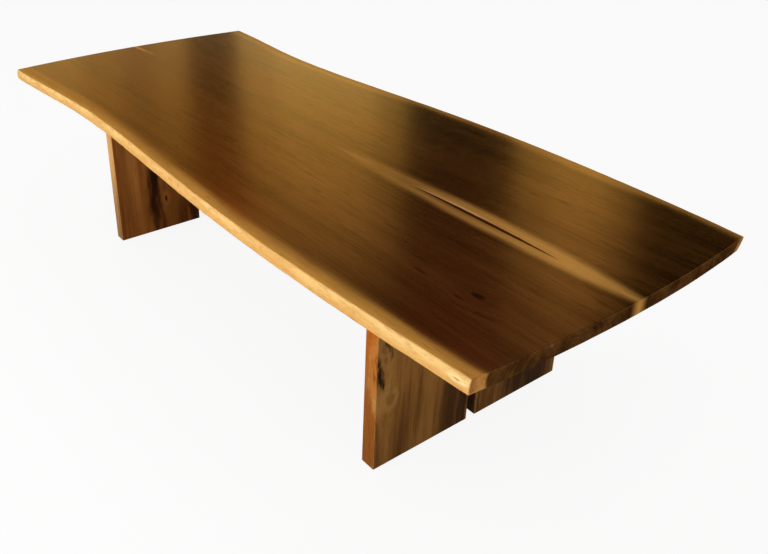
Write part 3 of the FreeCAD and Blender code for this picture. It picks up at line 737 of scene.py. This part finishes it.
def slab_wood(name, sap, knots=(), pins=()):
    """Oiled slab wood: heartwood, sapwood by the bark, pale wood along the joint, and a golden sheen."""
    material, tree, shader = new_material(name)
    axes = object_axes(tree)
    plain = along_grain(tree, axes, "XYZ")
    place, cores, halos = part_at_knots(tree, plain, knots)
    bent = axes_of(tree, place)
    opened = calc(tree, "ABSOLUTE", calc(tree, "SUBTRACT", bent["Y"], joint_place))
    seat = vector_calc(tree, "ADD", vector_of(tree, bent["X"], opened, bent["Z"]), SLAB_SHIFT)
    grain = wood_grain(tree, seat, SLAB_PITH, SLAB_RING, SLAB_WANDER)
    tone = weigh(tree, (grain["Fibre"], 0.34), (grain["Streak"], 0.6), (grain["Ring"], -0.12))
    sway = drift(tree, seat, (2.5, 16.0, 16.0), 3.0)
    mottle = cloud(tree, seat, (5.0, 34.0, 34.0), 4.0, 0.6)
    depth = calc(tree, "MULTIPLY_ADD", sway, 0.026, point_mark(tree, "bark"))
    polished, cut = slab_faces(tree)

    colour = heartwood(tree, tone, seat, axes["X"])
    for core, halo in zip(cores, halos):
        colour = blend_colours(tree, halo, colour, TOP_KNOT_RING)
        colour = blend_colours(tree, core, colour, TOP_KNOT_CORE)
    end_colour = blend_colours(tree, ramp(tree, tone, 0.1, 0.8), END_DARK, END_LIGHT)
    colour = blend_colours(tree, times(tree, cut, 0.9), colour, end_colour)
    sap_share = sapwood_share(tree, depth, mottle, polished, cut, sap)
    sap_colour = sapwood(tree, axes["Z"], seat, grain["Fibre"], depth, mottle, polished, cut, sap)
    colour = blend_colours(tree, sap_share, colour, sap_colour)
    pale = joint_pale_share(tree, axes, grain, sway)
    colour = blend_colours(tree, pale, colour, JOINT_PALE)
    # The opening's walls, with painted shade deeper down.
    wall, wall_colour_and_shade = opening_wall_and_shade(tree, axes["Z"])
    colour = blend_colours(tree, wall, colour, wall_colour_and_shade)
    colour = draw_pins(tree, colour, plain, pins)
    # The rim's painted highlight, kept dull in the sheen below.
    rim_highlight = point_mark(tree, "rim_highlight")
    colour = blend_colours(tree, rim_highlight, colour, RIM_HIGHLIGHT)
    colour = blend_colours(tree, times(tree, grain["Pore"], 0.25), colour, TOP_PORE)
    colour = blend_colours(tree, times(tree, worn_arrises(tree, place), 0.15), colour, TOP_WORN)

    sheen = calc(tree, "MULTIPLY_ADD", grain["Streak"], -0.12, 0.97)
    by_sap = ramp(tree, sap_share, 0.1, 0.75, 1.0, 0.08)
    by_pale = ramp(tree, pale, 0.0, 0.9, 1.0, 0.3)
    dull = calc(tree, "MAXIMUM", times(tree, rim_highlight, 0.9), wall)
    sheen = times(tree, sheen, by_sap, by_pale, calc(tree, "SUBTRACT", 1.0, dull), polished)
    tree.links.new(sheen, shader.inputs["Metallic"])
    rough = calc(tree, "MULTIPLY_ADD", grain["Fibre"], 0.06, 0.13)
    rough = calc(tree, "MULTIPLY_ADD", grain["Pore"], 0.08, rough)
    rough = calc(tree, "MULTIPLY_ADD", polished, -0.3, calc(tree, "ADD", rough, 0.3))
    set_finish(tree, shader, colour, rough)
    set_relief(tree, shader, grain["Height"], 0.08, 0.0005)
    shader.inputs["Specular IOR Level"].default_value = 0.0
    shader.inputs["Specular Tint"].default_value = SHEEN_TINT
    return material


TOP_KNOTS = (
    Knot((1.25, -0.322, top_high.z), reach=0.1, core=0.017, slim=0.55, deep=0.75, pale=0.3),
    Knot((1.22, -0.35, top_high.z), reach=0.03, core=0.008, slim=0.3, deep=0.6, pale=0.0),
    Knot((1.065, -0.356, top_high.z), reach=0.03, core=0.006, slim=0.16, deep=0.5, pale=0.0),
    Knot((1.25, -0.385, top_high.z), reach=0.03, core=0.006, slim=0.2, deep=0.45, pale=0.0),
    Knot((1.319, -0.37, top_high.z), reach=0.03, core=0.005, slim=0.2, deep=0.4, pale=0.0))
EDGE_PIN = Pin((1.455, -0.598, 0.736), 0.0045, 0.3, ring=paint(255, 222, 164), heart=paint(120, 76, 40))
END_CHIP = Pin((1.512, -0.333, 0.753), 0.0035, 1.0, ring=paint(150, 104, 54), heart=paint(206, 152, 88))
LEFT_SAP = Sap(top=0.057, end=0.057, share=1.0)
RIGHT_SAP = Sap(top=0.055, end=0.034, share=0.55)
left_wood = slab_wood("left_slab_wood", LEFT_SAP, TOP_KNOTS, (EDGE_PIN, END_CHIP))
right_wood = slab_wood("right_slab_wood", RIGHT_SAP)
add_slab("left_slab", left_wood)
add_slab("right_slab", right_wood)


# The loose tenons of the joint
# Slips of pale hardwood glued into mortises in both slabs. They line the slabs up and stay clear
# of the natural opening.
def tenon_wood():
    """Plain planed hardwood, its grain across the joint."""
    material, tree, shader = new_material("tenon_wood")
    place = along_grain(tree, object_axes(tree), "YXZ")
    grain = wood_grain(tree, place, (0.0, 0.3, 0.5), 0.006, 0.02)
    colour = blend_colours(tree, grain["Fibre"], paint(214, 180, 132), paint(186, 146, 98))
    set_finish(tree, shader, colour, calc(tree, "MULTIPLY_ADD", grain["Fibre"], 0.2, 0.5))
    set_relief(tree, shader, grain["Height"], 0.3, 0.0004)
    return material


dress(["near_joint_tenon", "far_joint_tenons"], tenon_wood())


# The bolts, washers, nuts and inserts
# Zinc-plated hexagon bolts clamp the bearers to the planks, and others run up through slotted holes
# into brass inserts screwed into the slabs' undersides.
ROWS = ("near_outer", "near_inner", "far_inner", "far_outer", "batten")


def plated_steel():
    """Zinc plate: grey metal with a faint mottle and fine scratches."""
    material, tree, shader = new_material("plated_steel")
    place = along_grain(tree, object_axes(tree), "XYZ")
    mottle = cloud(tree, place, (260.0, 260.0, 260.0), 3.0)
    scratch = cloud(tree, place, (90.0, 1500.0, 900.0), 1.0)
    colour = blend_colours(tree, ramp(tree, mottle, 0.3, 0.7), paint(150, 150, 148), paint(196, 196, 192))
    set_finish(tree, shader, colour, calc(tree, "MULTIPLY_ADD", mottle, 0.25, 0.22))
    set_relief(tree, shader, scratch, 0.1, 0.0001)
    shader.inputs["Metallic"].default_value = 1.0
    return material


def insert_brass():
    """Turned brass, dulled a little."""
    material, tree, shader = new_material("insert_brass")
    place = along_grain(tree, object_axes(tree), "XYZ")
    dull = cloud(tree, place, (400.0, 400.0, 400.0), 3.0)
    colour = blend_colours(tree, ramp(tree, dull, 0.35, 0.7), paint(196, 160, 92), paint(150, 116, 58))
    set_finish(tree, shader, colour, calc(tree, "MULTIPLY_ADD", dull, 0.3, 0.2))
    shader.inputs["Metallic"].default_value = 1.0
    return material


steel = plated_steel()
for support in ("near", "far"):
    dress([support + "_cross_" + kind for kind in ("bolts", "washers", "nuts")], steel)
for row in ROWS:
    dress([row + "_bolts", row + "_washers"], steel)
dress([row + "_inserts" for row in ROWS], insert_brass())


# The studio
# A pale floor under soft white walls and ceiling, one large soft lamp on the table's left, and a
# dim canopy with darker cards behind the table, which only the sheen of the top shows.
FLOOR_REACH, FLOOR_SIDES = 60.0, 64
FLOOR_SHOWN_WHITE, FLOOR_LIT = 1.08, (0.9, 0.9, 0.9, 1.0)
FLOOR_SHADOW_SHARE = 0.18
WALL_SHOWN, CEILING_SHOWN = 1.0, 0.45
LIGHT_SHARE, CEILING_LIGHT = 0.58, 0.6
WALL_RISE, CEILING_RISE = math.sin(math.radians(16)), math.sin(math.radians(45))
WHITE = (1.0, 1.0, 1.0, 1.0)
KEY_PLACE, KEY_AIM = Vector((0.2, -5.5, 0.95)), Vector((0.0, 0.0, 0.6))
KEY_SIZE, KEY_POWER = (6.0, 1.6), 240.0

# Turns are in degrees about the origin of the cards, from +X towards +Y. A fade is two heights as angles
# seen from there, and the share of a card's light that is left at the upper one.
Card = namedtuple("Card", "feet heads foot shown fade")
Fade = namedtuple("Fade", "low high left")
# The origin of the cards is the camera's place mirrored in the top, so the light and dark bands they put in
# the top's sheen fall where the camera sees them.
CARD_ORIGIN = Vector((2.530, -1.786, -0.45))
CARD_AWAY, CARD_SPACING, CARD_HEAD = 30.0, 0.3, 46.0
DIM = Fade(16.0, 40.0, 0.14)
CARDS = (Card((149.7, 152.9), (145.2, 153.7), 6.0, (0.10, 0.055, 0.035), Fade(16.0, 40.0, 6.5)),
         Card((129.8, 137.3), (126.3, 139.5), 7.2, (0.004, 0.002, 0.0032), Fade(20.0, 42.0, 40.0)),
         Card((109.0, 121.2), (107.0, 118.4), 8.8, (0.0, 0.0, 0.0), DIM),
         Card((152.9, 155.0), (153.7, 156.0), 6.0, (0.58, 0.49, 0.40), DIM),
         Card((155.0, 157.4), (156.0, 158.4), 6.0, (0.44, 0.345, 0.30), DIM),
         Card((157.4, 160.0), (158.4, 161.0), 6.0, (0.59, 0.485, 0.37), DIM),
         Card((160.0, 176.0), (161.0, 176.0), 6.0, (0.78, 0.67, 0.53), DIM),
         Card((147.4, 149.7), (141.8, 145.2), 6.0, (0.78, 0.74, 0.72), DIM),
         Card((137.3, 139.3), (139.5, 142.5), 7.2, (0.6, 0.6, 0.6), DIM),
         Card((127.4, 129.8), (123.3, 126.3), 7.2, (0.65, 0.65, 0.65), DIM),
         Card((121.2, 123.0), (118.4, 120.6), 8.8, (0.6, 0.6, 0.6), DIM))
CANOPY_AWAY, CANOPY_FOOT, CANOPY_HEAD = 34.0, 5.0, 56.0
CANOPY_SHEETS = 8
CANOPY_TURNS = np.linspace(102.0, 178.0, CANOPY_SHEETS + 1)
CANOPY_DIM_FROM = np.linspace(45.0, 33.0, CANOPY_SHEETS)


def shown_share(tree):
    """1 for a ray by which the camera sees a surface, straight or through gloss or glass."""
    seen = tree.nodes.new("ShaderNodeLightPath").outputs
    sight = calc(tree, "MAXIMUM", seen["Is Camera Ray"], seen["Is Glossy Ray"])
    return calc(tree, "MAXIMUM", sight, seen["Is Transmission Ray"])


def floor_white():
    """A pale floor that shows white and keeps a soft shadow."""
    material = bpy.data.materials.new("floor_white")
    tree = cleared_tree(material)
    lit = node(tree, "ShaderNodeBsdfDiffuse", {"Color": FLOOR_LIT}).outputs[0]
    white = node(tree, "ShaderNodeEmission", {"Color": WHITE, "Strength": FLOOR_SHOWN_WHITE}).outputs[0]
    share = times(tree, shown_share(tree), 1.0 - FLOOR_SHADOW_SHARE)
    mixed = node(tree, "ShaderNodeMixShader", {0: share, 1: lit, 2: white}).outputs[0]
    node(tree, "ShaderNodeOutputMaterial", {"Surface": mixed})
    return material


def compass(turn):
    """The level direction at a turn."""
    return Vector((math.cos(math.radians(turn)), math.sin(math.radians(turn))))


def add_sheet(name, corners, material):
    """A flat sheet of the studio."""
    mesh = bpy.data.meshes.new(name)
    mesh.from_pydata(corners, [], [tuple(range(len(corners)))])
    mesh.materials.append(material)
    sheet = bpy.data.objects.new(name, mesh)
    bpy.context.scene.collection.objects.link(sheet)
    return sheet


def card_light(name, shown, fade):
    """A card's own light, fading as the card rises."""
    material = bpy.data.materials.new(name)
    tree = cleared_tree(material)
    place = tree.nodes.new("ShaderNodeNewGeometry").outputs["Position"]
    sight = vector_calc(tree, "NORMALIZE", vector_calc(tree, "SUBTRACT", place, CARD_ORIGIN))
    low, high = math.sin(math.radians(fade.low)), math.sin(math.radians(fade.high))
    strength = ramp(tree, axes_of(tree, sight)["Z"], low, high, 1.0, fade.left)
    glow = node(tree, "ShaderNodeEmission", {"Color": (*shown, 1.0), "Strength": strength}).outputs[0]
    node(tree, "ShaderNodeOutputMaterial", {"Surface": glow})
    return material


def add_card(name, card, away, head):
    """A card seen only in the sheen. It may lean, so its upper corners have turns of their own."""
    left, right = [CARD_ORIGIN.xy + away * compass(turn) for turn in card.feet]
    upper_left, upper_right = [CARD_ORIGIN.xy + away * compass(turn) for turn in card.heads]
    corners = [(*left, card.foot), (*right, card.foot), (*upper_right, head), (*upper_left, head)]
    sheet = add_sheet(name, corners, card_light(name, card.shown, card.fade))
    sheet.visible_camera = False
    sheet.visible_diffuse = False
    sheet.visible_shadow = False


def studio_world():
    """White walls under a dimmer ceiling, which light the table less than they show."""
    world = bpy.data.worlds.new("studio")
    tree = cleared_tree(world)
    heading = axes_of(tree, tree.nodes.new("ShaderNodeTexCoord").outputs["Generated"])
    shown = ramp(tree, heading["Z"], WALL_RISE, CEILING_RISE, WALL_SHOWN, CEILING_SHOWN)
    lighting = times(tree, calc(tree, "MAXIMUM", shown, CEILING_LIGHT), LIGHT_SHARE)
    level = ramp(tree, shown_share(tree), 0.0, 1.0, lighting, shown)
    glow = node(tree, "ShaderNodeBackground", {"Color": WHITE, "Strength": level}).outputs[0]
    node(tree, "ShaderNodeOutputWorld", {"Surface": glow})
    return world


def add_key_lamp():
    """A wide soft lamp that lights the table's left side and isn't mirrored in the top."""
    lamp = bpy.data.lights.new("key_lamp", "AREA")
    lamp.shape = "RECTANGLE"
    lamp.size, lamp.size_y = KEY_SIZE
    lamp.energy = KEY_POWER
    holder = bpy.data.objects.new("key_lamp", lamp)
    holder.location = KEY_PLACE
    holder.rotation_euler = (KEY_AIM - KEY_PLACE).to_track_quat("-Z", "Y").to_euler()
    holder.visible_glossy = False
    bpy.context.scene.collection.objects.link(holder)


floor_turns = [2 * math.pi * step / FLOOR_SIDES for step in range(FLOOR_SIDES)]
floor_rim = [(FLOOR_REACH * math.cos(turn), FLOOR_REACH * math.sin(turn), 0.0) for turn in floor_turns]
add_sheet("floor", floor_rim, floor_white())
for number, card in enumerate(CARDS):
    add_card("card_%d" % (number + 1), card, CARD_AWAY + CARD_SPACING * number, CARD_HEAD)
for number, dim_from in enumerate(CANOPY_DIM_FROM):
    turns = CANOPY_TURNS[number:number + 2]
    card = Card(turns, turns, CANOPY_FOOT, (WALL_SHOWN,) * 3, Fade(DIM.low, dim_from, DIM.left))
    add_card("canopy_%d" % (number + 1), card, CANOPY_AWAY, CANOPY_HEAD)
bpy.context.scene.world = studio_world()
add_key_lamp()
bpy.context.scene.view_settings.view_transform = "Standard"


# The camera
# It stands off the near left corner, above the top, as the photographer did, and a little of the
# lens's rise and shift sets the table in the frame.
PICTURE_WIDE, PICTURE_HIGH = 768, 554
FOCAL_PIXELS = 837.728
MIDDLE_PIXEL = (328.63, 214.72)
SENSOR_WIDTH = 36.0
CAMERA_PLACE = (2.52994, -1.78638, 1.96059)
CAMERA_TURN, CAMERA_TILT, CAMERA_ROLL = 0.925488, 0.469456, 0.008849

back = Vector((math.sin(CAMERA_TURN) * math.cos(CAMERA_TILT),
               -math.cos(CAMERA_TURN) * math.cos(CAMERA_TILT), math.sin(CAMERA_TILT)))
level_right = Vector((math.cos(CAMERA_TURN), math.sin(CAMERA_TURN), 0.0))
level_up = back.cross(level_right)
right = math.cos(CAMERA_ROLL) * level_right + math.sin(CAMERA_ROLL) * level_up
up = math.cos(CAMERA_ROLL) * level_up - math.sin(CAMERA_ROLL) * level_right
lens = bpy.data.cameras.new("camera")
lens.sensor_width = SENSOR_WIDTH
lens.lens = FOCAL_PIXELS * SENSOR_WIDTH / PICTURE_WIDE
lens.shift_x = (PICTURE_WIDE / 2 - MIDDLE_PIXEL[0]) / PICTURE_WIDE
lens.shift_y = (MIDDLE_PIXEL[1] - PICTURE_HIGH / 2) / PICTURE_WIDE
camera = bpy.data.objects.new("camera", lens)
camera.matrix_world = Matrix.Translation(CAMERA_PLACE) @ Matrix((right, up, back)).transposed().to_4x4()
bpy.context.scene.collection.objects.link(camera)
bpy.context.scene.camera = camera
